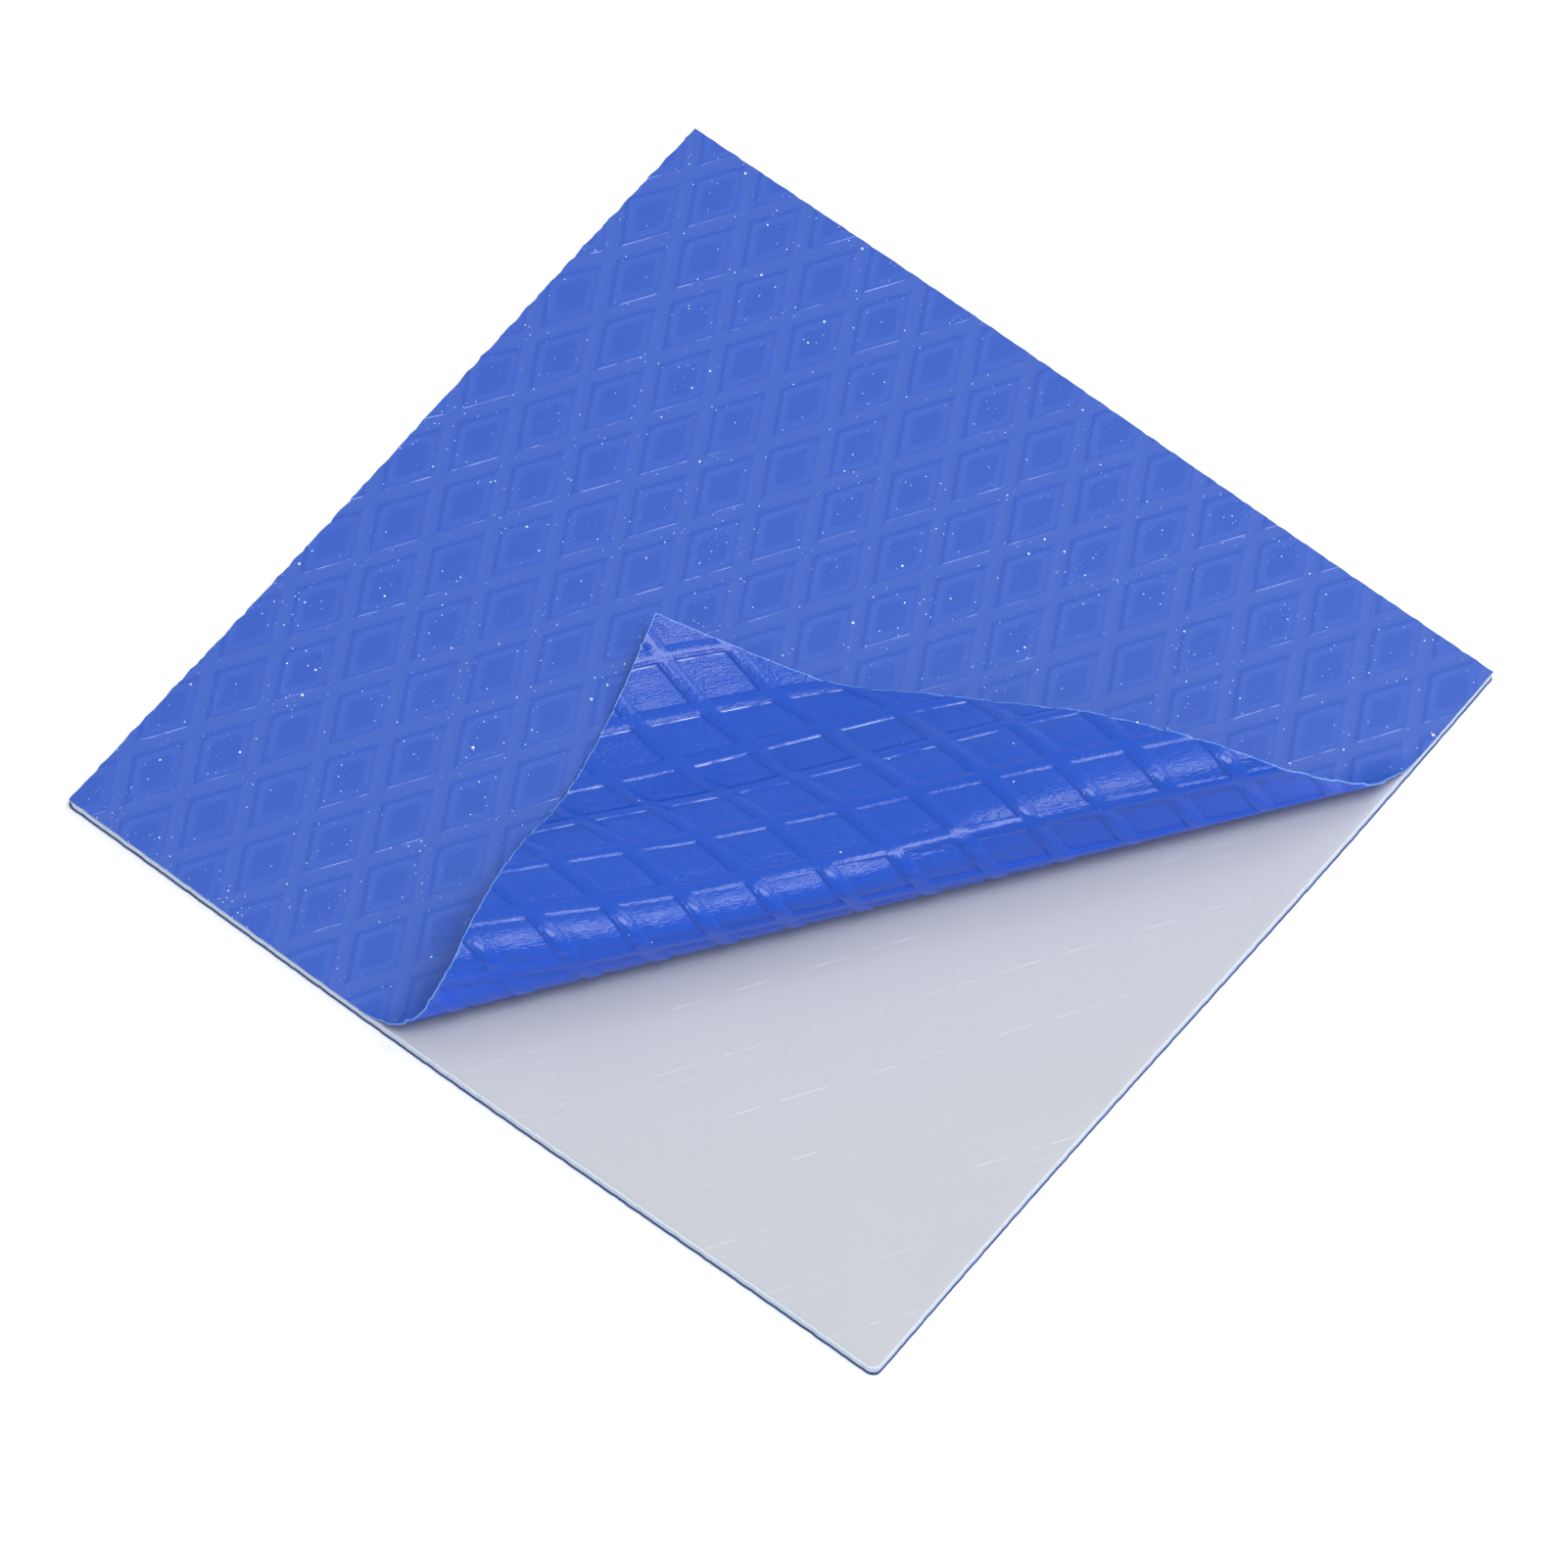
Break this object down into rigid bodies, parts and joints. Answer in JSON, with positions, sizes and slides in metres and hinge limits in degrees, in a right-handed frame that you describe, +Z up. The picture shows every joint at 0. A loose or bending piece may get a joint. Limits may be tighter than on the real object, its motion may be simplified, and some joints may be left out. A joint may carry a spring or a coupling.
{
  "type": "thermal pad sheet",
  "caption": "Square soft silicone heat-transfer pad between protective films, the embossed upper film peeled and rolled back at one corner.",
  "frame": {"origin": "under the middle of the sheet, on its lowest face", "axes": "+Z up through the layers, +X along the front edge towards the peeled corner, +Y along the side edge away from it"},
  "size_m": [0.1, 0.1, 0.0126],
  "materials": {
    "silicone": "matte, light cool grey, soft and slightly tacky",
    "embossed_film": "blue plastic film with a diamond embossing, satin above and glossier on its under face",
    "backing_film": "thin blue-grey plastic film, smooth"
  },
  "bodies": {
    "root": {"thermal_pad": "silicone", "top_film": "embossed_film", "bottom_film": "backing_film"}
  },
  "joints": []
}
